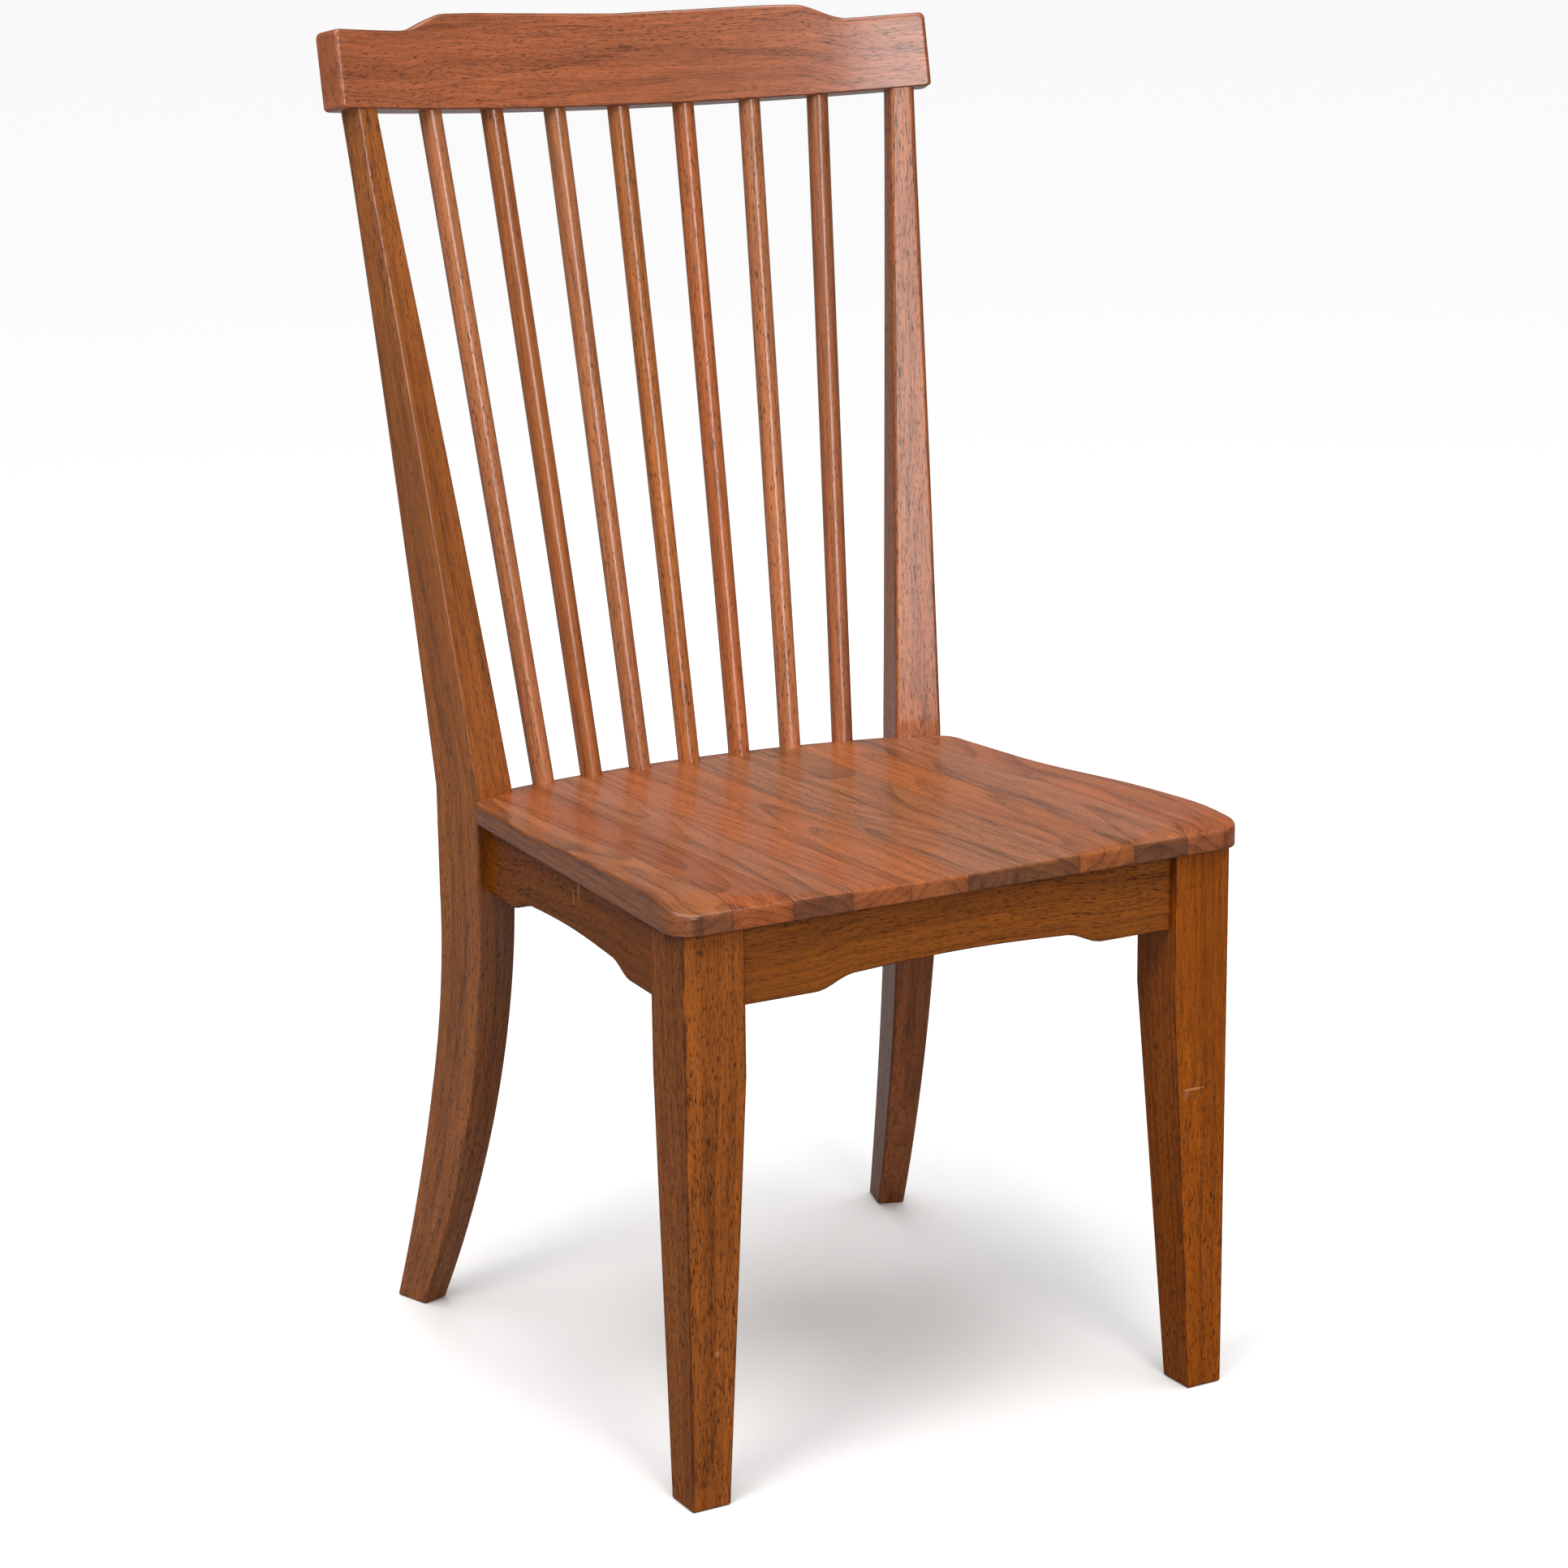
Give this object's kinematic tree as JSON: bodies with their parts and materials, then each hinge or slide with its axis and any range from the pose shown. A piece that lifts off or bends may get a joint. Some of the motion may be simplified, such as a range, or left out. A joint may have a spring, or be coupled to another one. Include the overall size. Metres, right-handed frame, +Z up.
{
  "type": "dining chair",
  "caption": "Wooden spindle-back side chair: dished board seat, curved crest rail with raised shoulders, sabre back legs, tapered front legs and scalloped aprons.",
  "frame": {"origin": "on the floor, under the middle of the chair's bounding box", "axes": "+X to the right of somebody who faces the chair, +Y towards its back, +Z up"},
  "size_m": [0.5494, 0.5668, 1.0554],
  "materials": {
    "crest_wood": "red-brown stained hardwood, satin lacquer",
    "post_wood": "red-brown stained hardwood, satin lacquer",
    "spindle_wood": "red-brown stained hardwood, satin lacquer",
    "seat_wood": "red-brown stained hardwood boards, satin lacquer",
    "leg_wood": "red-brown stained hardwood, satin lacquer",
    "apron_wood": "red-brown stained hardwood, satin lacquer",
    "block_wood": "plain sawn hardwood, unstained",
    "dowel_wood": "plain beech dowel, unstained",
    "zinc_steel": "bright zinc plated",
    "yellow_steel": "yellow zinc plated"
  },
  "bodies": {
    "root": {"crest_rail": "crest_wood", "left_back_post": "post_wood", "right_back_post": "post_wood", "spindle_1": "spindle_wood", "spindle_2": "spindle_wood", "spindle_3": "spindle_wood", "spindle_4": "spindle_wood", "spindle_5": "spindle_wood", "spindle_6": "spindle_wood", "spindle_7": "spindle_wood", "seat_stave_1": "seat_wood", "seat_stave_2": "seat_wood", "seat_stave_3": "seat_wood", "seat_stave_4": "seat_wood", "seat_stave_5": "seat_wood", "seat_stave_6": "seat_wood", "seat_stave_7": "seat_wood", "seat_stave_8": "seat_wood", "seat_stave_9": "seat_wood", "seat_stave_10": "seat_wood", "left_front_leg": "leg_wood", "right_front_leg": "leg_wood", "front_apron": "apron_wood", "rear_apron": "apron_wood", "left_side_apron": "apron_wood", "right_side_apron": "apron_wood", "front_left_block": "block_wood", "front_right_block": "block_wood", "rear_left_block": "block_wood", "rear_right_block": "block_wood", "apron_dowels": "dowel_wood", "hanger_bolts": "zinc_steel", "bolt_washers": "zinc_steel", "bolt_nuts": "zinc_steel", "block_screws": "yellow_steel", "seat_screws": "yellow_steel"}
  },
  "joints": []
}
